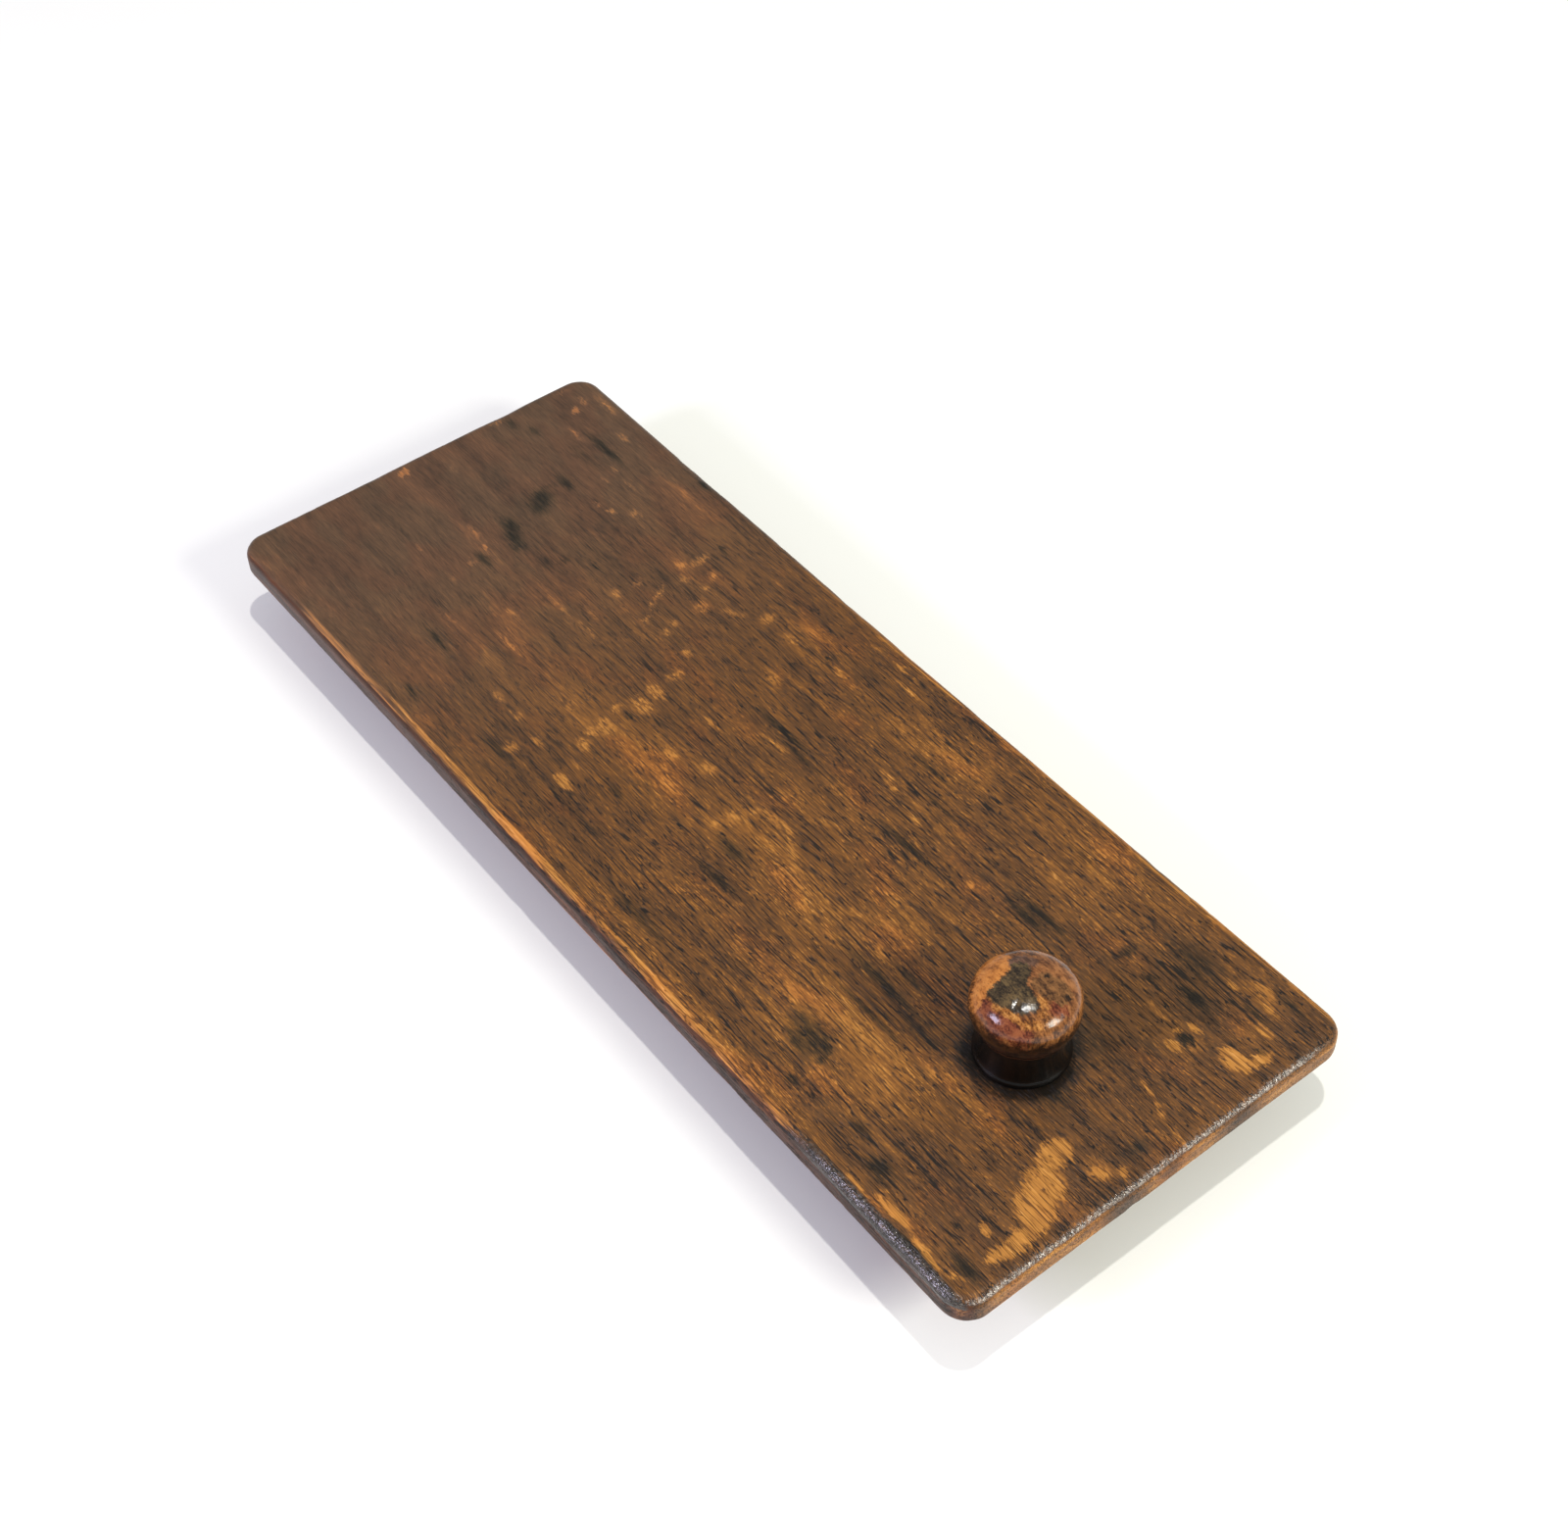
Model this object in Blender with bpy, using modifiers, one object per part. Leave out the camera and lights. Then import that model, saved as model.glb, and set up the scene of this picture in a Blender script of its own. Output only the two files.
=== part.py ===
"""Sleeve ironing board: one old plank on two battens, with a turned knob screwed on near one end.

Metres, +Z up. X runs along the plank towards the knob and Y runs across it. The origin is on the
table, under the middle of the plank. The plank has bowed a little with age, so its two ends stand
higher than its middle, and everything that is fixed to it follows that bow.
"""

import math

import bmesh
import bpy
from mathutils import Matrix

# Plank
PLANK_LENGTH = 0.3945
PLANK_WIDTH = 0.152
PLANK_THICKNESS = 0.0114
PLANK_CORNER_RADIUS = 0.009
PLANK_ARRIS_RADIUS = 0.0030
PLANK_BOW = 0.0015  # how far the ends stand above the middle

# Battens, across the underside
BATTEN_HEIGHT = 0.020
BATTEN_WIDTH = 0.024
BATTEN_SIDE_INSET = 0.015  # from the plank's long edge to the batten's end
BATTEN_CORNER_RADIUS = 0.003
BATTEN_CHAMFER = 0.0012
BATTEN_SCREWS = 3  # in each batten
BATTEN_SCREW_INSET = 0.018  # from the batten's end to the outer screws

# Knob
KNOB_FROM_END = 0.0555  # from the plank's end to the knob's axis
KNOB_OFF_CENTRE = -0.0048
KNOB_HEAD_RADIUS = 0.0166
KNOB_CROWN_HEIGHT = 0.0098  # from the head's widest circle to its top
KNOB_CROWN_FULLNESS = 2.4  # 2 is a half ellipse, more is flatter on top and fuller at the shoulder
KNOB_SKIRT_HEIGHT = 0.0081  # from the head's widest circle down to its rim
KNOB_SKIRT_TAPER = 0.0017  # how much narrower the rim is than the widest circle
KNOB_RIM_STEP = 0.0006  # from the rim in to the neck
KNOB_NECK_HEIGHT = 0.0120
KNOB_NECK_COVE = 0.0006  # how deep the neck is hollowed
KNOB_FOOT_RADIUS = 0.0149
KNOB_FOOT_HEIGHT = 0.0030
KNOB_FOOT_EASE = 0.0005

# Countersunk wood screws
SCREW_HEAD_RADIUS = 0.0040
SCREW_HEAD_RIM = 0.0004
SCREW_SHANK_RADIUS = 0.0021
SCREW_CORE_RADIUS = 0.0017
SCREW_TIP_RADIUS = 0.0004
SCREW_POINT_LENGTH = 0.0040
SCREW_SHANK_SHARE = 0.35  # the plain part of a wood screw's length
SLOT_WIDTH = 0.0010
SLOT_DEPTH = 0.0012
HEAD_RECESS = 0.0010  # how far a head lies below the wood around it
TIP_COVER = 0.0030  # wood left between a batten screw's point and the plank's top face
KNOB_SCREW_BITE = 0.0150  # how far the knob's screw goes into the knob
DRIVER_ROOM = 0.0050  # between the knob screw's head and the batten beside it
SLOT_TURN = 50  # degrees from one screw's slot to the next, as they happened to be driven home

# Fits
SEAT_GAP = 0.0003  # between two faces that bear on each other
HOLE_CLEARANCE = 0.0003  # all round a screw

# Facets
BOW_STATIONS = 15
CORNER_FACETS = 6
ARRIS_FACETS = 4
CROWN_FACETS = 9
COVE_FACETS = 6
KNOB_STEPS = 36
SCREW_STEPS = 16


# The plank's bow, and what stands on it


def bow_rise(x):
    """How far the bow lifts the plank at x above its own middle."""
    return PLANK_BOW * (2 * x / PLANK_LENGTH) ** 2


def lean(x):
    """The angle of the plank at x to the table."""
    return math.atan(8 * PLANK_BOW * x / PLANK_LENGTH**2)


def knob_x():
    return PLANK_LENGTH / 2 - KNOB_FROM_END


def batten_x():
    """The battens stand at plus and minus this, outside the knob's screw."""
    return knob_x() + SCREW_HEAD_RADIUS + DRIVER_ROOM + BATTEN_WIDTH / 2


def underside(x):
    """Height of the plank's underside: it lies on the battens where they stand."""
    return BATTEN_HEIGHT + SEAT_GAP + bow_rise(x) - bow_rise(batten_x())


# Making and cutting bodies


def collection(name):
    made = bpy.data.collections.new(name)
    bpy.context.scene.collection.children.link(made)
    return made


def finish(name, colour, roughness, metallic=0.0):
    made = bpy.data.materials.new(name)
    made.use_nodes = True
    shader = made.node_tree.nodes["Principled BSDF"]
    shader.inputs["Base Color"].default_value = (*colour, 1.0)
    shader.inputs["Roughness"].default_value = roughness
    shader.inputs["Metallic"].default_value = metallic
    return made


def add_body(name, bm, where, material=None):
    mesh = bpy.data.meshes.new(name)
    bm.normal_update()
    bm.to_mesh(mesh)
    bm.free()
    made = bpy.data.objects.new(name, mesh)
    where.objects.link(made)
    if material:
        mesh.materials.append(material)
    return made


def shade_round(body, crease):
    body.data.shade_smooth()
    body.data.set_sharp_from_angle(angle=math.radians(crease))
    return body


def turned(name, outline, steps, where, material=None):
    """A body turned about Z from (radius, height) points: from the axis at the top, down the outside."""
    bm = bmesh.new()
    points = [bm.verts.new((radius, 0.0, height)) for radius, height in outline]
    for upper, lower in zip(points, points[1:]):
        bm.edges.new((upper, lower))
    made = add_body(name, bm, where, material)
    lathe = made.modifiers.new("Lathe", "SCREW")
    lathe.steps = steps
    lathe.render_steps = steps
    lathe.use_merge_vertices = True
    lathe.merge_threshold = 0.00001
    lathe.use_smooth_shade = True
    return made


def block(length, width, height):
    """A block whose underside is on z = 0."""
    bm = bmesh.new()
    size = Matrix.Diagonal((length, width, height, 1.0))
    bmesh.ops.create_cube(bm, size=1.0, matrix=Matrix.Translation((0, 0, height / 2)) @ size)
    return bm


def round_corners(bm, radius, facets):
    bm.normal_update()
    upright = [edge for edge in bm.edges if all(abs(face.normal.z) < 0.5 for face in edge.link_faces)]
    bmesh.ops.bevel(bm, geom=upright, offset=radius, segments=facets, profile=0.5, affect="EDGES")


def ease_rim(bm, side, radius, facets):
    """Rounds the edge all round the top face (side 1) or the bottom face (side -1)."""
    bm.normal_update()
    flat = max(bm.faces, key=lambda face: side * face.calc_center_median().z)
    rim = flat.edges[:]
    bmesh.ops.bevel(bm, geom=rim, offset=radius, segments=facets, profile=0.5, affect="EDGES")


def as_cutter(body):
    body.hide_render = True
    body.display_type = "WIRE"
    return body


def cut(body, cutter):
    boolean = body.modifiers.new("Cut " + cutter.name, "BOOLEAN")
    boolean.operation = "DIFFERENCE"
    boolean.solver = "EXACT"
    boolean.object = cutter


# The pieces


def make_plank(where, material):
    bm = block(PLANK_LENGTH, PLANK_WIDTH, PLANK_THICKNESS)
    round_corners(bm, PLANK_CORNER_RADIUS, CORNER_FACETS)
    ease_rim(bm, 1, PLANK_ARRIS_RADIUS, ARRIS_FACETS)
    ease_rim(bm, -1, PLANK_ARRIS_RADIUS, ARRIS_FACETS)
    straight = PLANK_LENGTH - 2 * PLANK_CORNER_RADIUS
    for station in range(1, BOW_STATIONS):
        x = straight * (station / BOW_STATIONS - 0.5)
        everything = bm.verts[:] + bm.edges[:] + bm.faces[:]
        bmesh.ops.bisect_plane(bm, geom=everything, plane_co=(x, 0, 0), plane_no=(1, 0, 0))
    for vertex in bm.verts:
        vertex.co.z += underside(vertex.co.x)
    return shade_round(add_body("plank", bm, where, material), 40)


def make_batten(name, x, where, material):
    bm = block(BATTEN_WIDTH, PLANK_WIDTH - 2 * BATTEN_SIDE_INSET, BATTEN_HEIGHT)
    round_corners(bm, BATTEN_CORNER_RADIUS, 3)
    ease_rim(bm, -1, BATTEN_CHAMFER, 2)
    for vertex in bm.verts:
        if vertex.co.z > BATTEN_HEIGHT / 2:
            vertex.co.z = underside(x + vertex.co.x) - SEAT_GAP
    batten = shade_round(add_body(name, bm, where, material), 40)
    batten.location = (x, 0, 0)
    return batten


def knob_outline():
    neck_top = KNOB_FOOT_HEIGHT + KNOB_NECK_HEIGHT
    widest = neck_top + KNOB_SKIRT_HEIGHT
    full = 2 / KNOB_CROWN_FULLNESS
    outline = []
    for facet in range(CROWN_FACETS + 1):
        turn = math.pi / 2 * facet / CROWN_FACETS
        radius = KNOB_HEAD_RADIUS * math.sin(turn) ** full
        outline.append((radius, widest + KNOB_CROWN_HEIGHT * abs(math.cos(turn)) ** full))
    for share in (0.35, 0.65, 0.87, 1.0):
        radius = KNOB_HEAD_RADIUS - KNOB_SKIRT_TAPER * share**2
        outline.append((radius, widest - KNOB_SKIRT_HEIGHT * share))
    neck = KNOB_HEAD_RADIUS - KNOB_SKIRT_TAPER - KNOB_RIM_STEP
    cove_top = neck_top - KNOB_RIM_STEP / 2
    for facet in range(COVE_FACETS + 1):
        share = facet / COVE_FACETS
        radius = neck - KNOB_NECK_COVE * math.sin(math.pi * share)
        outline.append((radius, cove_top + (KNOB_FOOT_HEIGHT + KNOB_RIM_STEP / 2 - cove_top) * share))
    outline += [
        (KNOB_FOOT_RADIUS - KNOB_FOOT_EASE, KNOB_FOOT_HEIGHT),
        (KNOB_FOOT_RADIUS, KNOB_FOOT_HEIGHT - KNOB_FOOT_EASE),
        (KNOB_FOOT_RADIUS, KNOB_FOOT_EASE),
        (KNOB_FOOT_RADIUS - KNOB_FOOT_EASE, 0.0),
        (0.0, 0.0),
    ]
    return outline


def make_knob(where, material):
    """Turned in one piece, standing square on the bowed plank."""
    knob = turned("knob", knob_outline(), KNOB_STEPS, where, material)
    turn = lean(knob_x())
    stand = PLANK_THICKNESS + SEAT_GAP
    x = knob_x() - stand * math.sin(turn)
    knob.location = (x, KNOB_OFF_CENTRE, underside(knob_x()) + stand * math.cos(turn))
    knob.rotation_euler = (0, -turn, 0)
    return knob


def screw_outline(length, grow=0.0):
    """A countersunk wood screw, point up, its head's flat on z = 0. The hole for it is the same, grown."""
    neck = SCREW_HEAD_RIM + SCREW_HEAD_RADIUS - SCREW_SHANK_RADIUS
    shank_end = SCREW_SHANK_SHARE * length
    thread_start = shank_end + SCREW_SHANK_RADIUS - SCREW_CORE_RADIUS
    return [
        (0.0, length + grow),
        (SCREW_TIP_RADIUS + grow, length + grow),
        (SCREW_CORE_RADIUS + grow, length - SCREW_POINT_LENGTH + grow),
        (SCREW_CORE_RADIUS + grow, thread_start + grow),
        (SCREW_SHANK_RADIUS + grow, shank_end + grow),
        (SCREW_SHANK_RADIUS + grow, neck + grow),
        (SCREW_HEAD_RADIUS + grow, SCREW_HEAD_RIM + grow),
    ]


def make_screw(name, length, place, lean_angle, slot_turn, parts, cutters, material):
    """A screw and the hole that it lies in. The hole goes on down out of the wood below the head."""
    outline = screw_outline(length) + [(SCREW_HEAD_RADIUS, 0.0), (0.0, 0.0)]
    screw = turned(name, outline, SCREW_STEPS, parts, material)
    slot_size = Matrix.Diagonal((SLOT_WIDTH, 3 * SCREW_HEAD_RADIUS, 2 * SLOT_DEPTH, 1.0))
    bm = bmesh.new()
    bmesh.ops.create_cube(bm, size=1.0, matrix=slot_size)
    slot = as_cutter(add_body(name + "_slot", bm, cutters))
    slot.parent = screw
    slot.rotation_euler = (0, 0, slot_turn)
    cut(screw, slot)

    mouth = SCREW_HEAD_RADIUS + HOLE_CLEARANCE
    below = -3 * HEAD_RECESS
    outline = screw_outline(length, HOLE_CLEARANCE) + [(mouth, below), (0.0, below)]
    hole = as_cutter(turned(name + "_hole", outline, SCREW_STEPS, cutters))
    for body in (screw, hole):
        body.location = place
        body.rotation_euler = (0, -lean_angle, 0)
    return hole


def main():
    for obj in list(bpy.data.objects):
        bpy.data.objects.remove(obj)
    parts = collection("Sleeve ironing board")
    cutters = collection("Cutters")
    plank_wood = finish("Worn dark varnish", (0.125, 0.055, 0.022), 0.42)
    knob_wood = finish("Polished knob varnish", (0.16, 0.055, 0.018), 0.25)
    batten_wood = finish("Stained batten wood", (0.15, 0.072, 0.030), 0.60)
    steel = finish("Old screw steel", (0.30, 0.28, 0.25), 0.45, 1.0)
    plank = make_plank(parts, plank_wood)

    # Each batten is held by a row of screws that go up through it into the plank.
    length = BATTEN_HEIGHT - HEAD_RECESS + SEAT_GAP + PLANK_THICKNESS - TIP_COVER
    reach = PLANK_WIDTH / 2 - BATTEN_SIDE_INSET - BATTEN_SCREW_INSET
    turn = 0.0
    for end, x in (("knob_end", batten_x()), ("far_end", -batten_x())):
        batten = make_batten("batten_" + end, x, parts, batten_wood)
        for number in range(BATTEN_SCREWS):
            name = f"batten_screw_{end}_{number + 1}"
            place = (x, reach * (2 * number / (BATTEN_SCREWS - 1) - 1), HEAD_RECESS)
            turn += math.radians(SLOT_TURN)
            hole = make_screw(name, length, place, 0.0, turn, parts, cutters, steel)
            cut(batten, hole)
            cut(plank, hole)

    # The knob is held by one screw that goes up through the plank into it.
    knob = make_knob(parts, knob_wood)
    length = PLANK_THICKNESS - HEAD_RECESS + SEAT_GAP + KNOB_SCREW_BITE
    place = (knob_x(), KNOB_OFF_CENTRE, underside(knob_x()) + HEAD_RECESS)
    turn += math.radians(SLOT_TURN)
    hole = make_screw("knob_screw", length, place, lean(knob_x()), turn, parts, cutters, steel)
    cut(plank, hole)
    cut(knob, hole)


main()
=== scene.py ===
import math

import bmesh
import bpy
from mathutils import Matrix, Vector, noise


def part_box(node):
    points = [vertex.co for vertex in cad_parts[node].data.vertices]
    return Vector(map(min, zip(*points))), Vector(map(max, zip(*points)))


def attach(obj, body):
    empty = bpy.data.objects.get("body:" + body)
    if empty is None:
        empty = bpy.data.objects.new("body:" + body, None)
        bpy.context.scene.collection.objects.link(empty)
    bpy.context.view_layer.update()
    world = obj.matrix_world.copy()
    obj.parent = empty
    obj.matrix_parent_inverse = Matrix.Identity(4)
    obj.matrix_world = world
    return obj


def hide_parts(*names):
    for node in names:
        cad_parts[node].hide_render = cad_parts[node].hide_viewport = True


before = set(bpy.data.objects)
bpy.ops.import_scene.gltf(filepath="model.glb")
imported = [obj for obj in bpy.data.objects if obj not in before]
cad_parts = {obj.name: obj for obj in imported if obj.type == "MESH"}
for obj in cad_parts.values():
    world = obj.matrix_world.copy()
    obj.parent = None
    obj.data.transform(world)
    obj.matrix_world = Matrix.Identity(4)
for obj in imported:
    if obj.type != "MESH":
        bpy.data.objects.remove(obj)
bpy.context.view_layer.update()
print("frame loaded:", sorted(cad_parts))

mm = 0.001
plankLow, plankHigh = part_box("plank")
knobLow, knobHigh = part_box("knob")

camera = {
    "lens": 54.74,
    "sensor": 36.0,
    "azimuth": 52.695,
    "elevation": 48.222,
    "roll": -1.272,
    "fromPlank": (0.4223, -0.3043, 0.5799),  # from the middle of the plank's top face
}

table = {
    "size": 7.0,
    "colour": (0.86, 0.87, 0.86),
    "dullest": 0.985,
    "roughness": 0.55,
    "shine": 0.2,
}

room = {"colour": (1.0, 1.0, 0.98), "strength": 0.46}

# all aimed at the plank; places and sizes in metres
lamps = [
    {
        "name": "ceilingLamp",
        "at": (0.08, 0.15, 2.36),
        "size": (0.06, 0.06),
        "watts": 20,
        "colour": (1.0, 0.97, 0.90),
    },
    {
        "name": "windowEast",
        "at": (1.62, 0.46, 1.10),
        "size": (0.70, 0.60),
        "watts": 30,
        "colour": (1.0, 1.0, 0.89),
    },
    {
        "name": "windowSouth",
        "at": (-0.36, -1.66, 0.98),
        "size": (0.55, 0.60),
        "watts": 24,
        "colour": (0.80, 0.75, 1.0),
    },
]


def middleOfTop():
    return Vector((0.0, 0.0, plankHigh.z - plank["bow"]))


def setCamera():
    data = bpy.data.cameras.new("camera")
    data.lens = camera["lens"]
    data.sensor_width = camera["sensor"]
    data.clip_start = 0.01
    eye = bpy.data.objects.new("camera", data)
    bpy.context.collection.objects.link(eye)
    turn = Matrix.Rotation(math.radians(camera["azimuth"]), 4, "Z")
    tilt = Matrix.Rotation(math.radians(90 - camera["elevation"]), 4, "X")
    roll = Matrix.Rotation(math.radians(camera["roll"]), 4, "Z")
    place = Matrix.Translation(middleOfTop() + Vector(camera["fromPlank"]))
    eye.matrix_world = place @ turn @ tilt @ roll
    bpy.context.scene.camera = eye


def setTable():
    bm = bmesh.new()
    bmesh.ops.create_grid(bm, x_segments=8, y_segments=8, size=table["size"] / 2)
    mesh = bpy.data.meshes.new("tableTop")
    bm.to_mesh(mesh)
    bm.free()
    top = bpy.data.objects.new("tableTop", mesh)
    bpy.context.collection.objects.link(top)
    paint = newMaterial("tablePaint")
    shader = paint.shader
    shader.inputs["Roughness"].default_value = table["roughness"]
    shader.inputs["Specular IOR Level"].default_value = table["shine"]
    cloud = paint.noise(paint.position(1.0), 3.0, 3, 0.5)
    duller = [c * table["dullest"] for c in table["colour"]]
    shade = paint.ramp(cloud, [(0.3, duller), (0.7, table["colour"])])
    paint.link(shade, shader.inputs["Base Color"])
    mesh.materials.append(paint.material)


def setLamps():
    bpy.context.scene.view_settings.view_transform = "Standard"
    world = bpy.data.worlds.new("room")
    bpy.context.scene.world = world
    world.use_nodes = True
    sky = world.node_tree.nodes["Background"]
    sky.inputs["Color"].default_value = (*room["colour"], 1)
    sky.inputs["Strength"].default_value = room["strength"]
    for lamp in lamps:
        data = bpy.data.lights.new(lamp["name"], "AREA")
        data.shape = "RECTANGLE"
        data.size, data.size_y = lamp["size"]
        data.energy = lamp["watts"]
        data.color = lamp["colour"]
        lit = bpy.data.objects.new(lamp["name"], data)
        lit.location = lamp["at"]
        aim = Vector((0, 0, 0)) - Vector(lamp["at"])
        lit.rotation_euler = aim.to_track_quat("-Z", "Y").to_euler()
        bpy.context.collection.objects.link(lit)


class newMaterial:
    def __init__(self, name):
        self.material = bpy.data.materials.new(name)
        self.material.use_nodes = True
        self.nodes = self.material.node_tree.nodes
        self.shader = self.nodes["Principled BSDF"]
        self.place = self.nodes.new("ShaderNodeTexCoord").outputs["Object"]

    def link(self, out, into):
        self.material.node_tree.links.new(out, into)

    def put(self, value, socket):
        if isinstance(value, bpy.types.NodeSocket):
            self.link(value, socket)
        else:
            socket.default_value = value

    def vector(self, operation, a, b=None, scale=None):
        made = self.nodes.new("ShaderNodeVectorMath")
        made.operation = operation
        self.put(a, made.inputs[0])
        if b is not None:
            self.put(b, made.inputs[1])
        if scale is not None:
            made.inputs["Scale"].default_value = scale
        return made.outputs["Value" if operation == "LENGTH" else "Vector"]

    # the object's own coordinates, counted in this many metres
    def position(self, unit):
        return self.vector("SCALE", self.place, scale=1.0 / unit)

    def math(self, operation, a, b=0.5, c=None):
        made = self.nodes.new("ShaderNodeMath")
        made.operation = operation
        self.put(a, made.inputs[0])
        self.put(b, made.inputs[1])
        if c is not None:
            self.put(c, made.inputs[2])
        return made.outputs[0]

    def times(self, a, b):
        return self.math("MULTIPLY", a, b)

    def most(self, a, b):
        return self.math("MAXIMUM", a, b)

    def inverse(self, value):
        return self.math("SUBTRACT", 1.0, value)

    # how far a value is from another
    def off(self, value, other):
        return self.math("ABSOLUTE", self.math("SUBTRACT", value, other))

    # this much of the value, added to something
    def add(self, value, amount, base):
        return self.math("MULTIPLY_ADD", value, amount, base)

    # the same, with the value's swing about a half
    def swing(self, value, amount, base):
        return self.add(self.math("SUBTRACT", value, 0.5), amount, base)

    # each place moved by noise, up to half these lengths either way
    def astray(self, at, noise, lengths):
        away = self.vector("MULTIPLY", self.vector("SUBTRACT", noise, (0.5, 0.5, 0.5)), lengths)
        return self.vector("ADD", at, away)

    def stretch(self, at, lengths, shift=(0, 0, 0)):
        made = self.nodes.new("ShaderNodeMapping")
        made.inputs["Location"].default_value = shift
        made.inputs["Scale"].default_value = [1.0 / length for length in lengths]
        self.link(at, made.inputs["Vector"])
        return made.outputs[0]

    def noise(self, at, scale=1.0, detail=2.0, roughness=0.5, colour=False):
        made = self.nodes.new("ShaderNodeTexNoise")
        made.inputs["Scale"].default_value = scale
        made.inputs["Detail"].default_value = detail
        made.inputs["Roughness"].default_value = roughness
        self.link(at, made.inputs["Vector"])
        return made.outputs["Color" if colour else "Fac"]

    # 0 on the lines between cells one unit wide
    def crazing(self, at):
        made = self.nodes.new("ShaderNodeTexVoronoi")
        made.feature = "DISTANCE_TO_EDGE"
        made.inputs["Scale"].default_value = 1.0
        self.link(at, made.inputs["Vector"])
        return made.outputs["Distance"]

    def apart(self, at):
        made = self.nodes.new("ShaderNodeSeparateXYZ")
        self.link(at, made.inputs[0])
        return made.outputs

    # 0 below low, 1 above high, smooth between
    def step(self, value, low, high, top=1.0):
        made = self.nodes.new("ShaderNodeMapRange")
        made.interpolation_type = "SMOOTHSTEP"
        self.link(value, made.inputs["Value"])
        made.inputs["From Min"].default_value = low
        made.inputs["From Max"].default_value = high
        made.inputs["To Max"].default_value = top
        return made.outputs["Result"]

    def ramp(self, value, stops):
        made = self.nodes.new("ShaderNodeValToRGB")
        band = made.color_ramp
        while len(band.elements) < len(stops):
            band.elements.new(0.5)
        for element, (at, colour) in zip(band.elements, stops):
            element.position = at
            element.color = (*colour, 1)
        self.link(value, made.inputs["Fac"])
        return made.outputs["Color"]

    def mix(self, amount, a, b, blend="MIX"):
        made = self.nodes.new("ShaderNodeMix")
        made.data_type = "RGBA"
        made.blend_type = blend
        self.put(amount, made.inputs["Factor"])
        self.put(a if not isinstance(a, tuple) else (*a, 1), made.inputs[6])
        self.put(b if not isinstance(b, tuple) else (*b, 1), made.inputs[7])
        return made.outputs[2]

    def tint(self, colour, by):
        return self.mix(1.0, colour, by, "MULTIPLY")

    # soft round spots, each (x, y, half length, half width, degrees, strength)
    def spots(self, at, marks, reach):
        whole = None
        for x, y, long, wide, angle, strength in marks:
            place = self.nodes.new("ShaderNodeMapping")
            place.vector_type = "TEXTURE"
            place.inputs["Location"].default_value = (x, y, 0)
            place.inputs["Rotation"].default_value = (0, 0, math.radians(angle))
            place.inputs["Scale"].default_value = (long, wide, reach)
            self.link(at, place.inputs["Vector"])
            ball = self.nodes.new("ShaderNodeTexGradient")
            ball.gradient_type = "SPHERICAL"
            self.link(place.outputs[0], ball.inputs["Vector"])
            mark = self.times(ball.outputs["Fac"], strength)
            whole = mark if whole is None else self.most(whole, mark)
        return whole

    def bump(self, height, depth, strength):
        made = self.nodes.new("ShaderNodeBump")
        made.inputs["Distance"].default_value = depth
        made.inputs["Strength"].default_value = strength
        self.link(height, made.inputs["Height"])
        return made.outputs["Normal"]


def tone(red, green, blue):
    return tuple(((c / 255 + 0.055) / 1.055) ** 2.4 for c in (red, green, blue))


plank = {
    "bow": 0.0015,  # how far its ends stand above its middle
    "thickness": 0.0114,
    "corner": 0.0090,
    "arris": 0.0034,
    "alongCells": 250,
    "acrossCells": 92,
    "cornerCells": 6,  # in half a corner
    "arrisCells": 8,
    "sideCells": 4,
    "unevenness": 0.00012,
    "edgeWear": 0.00028,
}


# the outline at this inset from the plank's widest, the same number of points at every inset
def outlinePoints(inset):
    half = ((plankHigh.x - plankLow.x) / 2 - inset, (plankHigh.y - plankLow.y) / 2 - inset)
    radius = plank["corner"] - inset
    quarter = plank["cornerCells"]

    def onCorner(straight, across, angle):
        return straight + radius * math.sin(angle), -across + radius - radius * math.cos(angle)

    def side(start, straight, cells):
        # from the middle of one corner to the middle of the next, turned on by start degrees
        points = []
        across = half[1] if start in (0, 180) else half[0]
        for i in range(cells):
            if i < quarter:
                angle = math.radians(-45 + 45 * i / quarter)
                points.append(onCorner(-straight, across, angle))
            elif i <= cells - quarter:
                share = (i - quarter) / (cells - 2 * quarter)
                points.append((straight * (2 * share - 1), -across))
            else:
                angle = math.radians(45 * (i - cells + quarter) / quarter)
                points.append(onCorner(straight, across, angle))
        turn = math.radians(start)
        return [
            (x * math.cos(turn) - y * math.sin(turn), x * math.sin(turn) + y * math.cos(turn))
            for x, y in points
        ]

    along, across = plank["alongCells"], plank["acrossCells"]
    ring = []
    for start in (0, 90, 180, 270):
        lengthwise = start in (0, 180)
        straight = half[0] - radius if lengthwise else half[1] - radius
        ring += side(start, straight, along if lengthwise else across)
    return ring


# a grid of points that fills the outline
def capPoints(ring):
    along, across = plank["alongCells"], plank["acrossCells"]
    near = [ring[i] for i in range(along + 1)]
    knobEnd = [ring[along + i] for i in range(across + 1)]
    far = [ring[(2 * along + across - i)] for i in range(along + 1)]
    farEnd = [ring[(2 * (along + across) - i) % len(ring)] for i in range(across + 1)]
    rows = []
    for j in range(across + 1):
        v = j / across
        row = []
        for i in range(along + 1):
            u = i / along
            point = []
            for k in (0, 1):
                edges = (1 - v) * near[i][k] + v * far[i][k]
                edges = edges + (1 - u) * farEnd[j][k] + u * knobEnd[j][k]
                corners = (1 - u) * (1 - v) * near[0][k] + u * (1 - v) * near[-1][k]
                corners += (1 - u) * v * far[0][k] + u * v * far[-1][k]
                point.append(edges - corners)
            row.append(point)
        rows.append(row)
    return rows


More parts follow.
